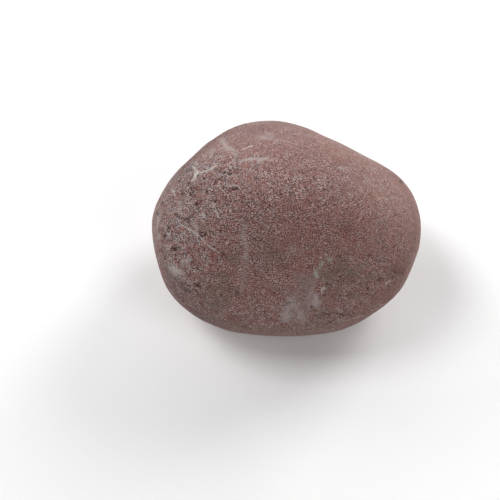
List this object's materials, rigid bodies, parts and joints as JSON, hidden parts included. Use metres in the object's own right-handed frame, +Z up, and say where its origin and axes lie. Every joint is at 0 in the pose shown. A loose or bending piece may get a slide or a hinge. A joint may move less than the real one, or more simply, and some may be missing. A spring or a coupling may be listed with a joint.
{
  "type": "dolomite rock",
  "caption": "Rounded, water-worn cobble of fine-grained reddish brown dolomite that lies on its broad side on a small flat.",
  "frame": {"origin": "on the surface that the stone rests on, below the middle of its bounding box", "axes": "+X along the longest extent, to the stone's tight right shoulder; +Y to the back; +Z up, along the shortest extent"},
  "size_m": [0.0792, 0.0678, 0.0502],
  "materials": {
    "dolomite": "matt, fine-grained, with pale veins and small dark pits"
  },
  "bodies": {
    "root": {"stone": "dolomite"}
  },
  "joints": []
}
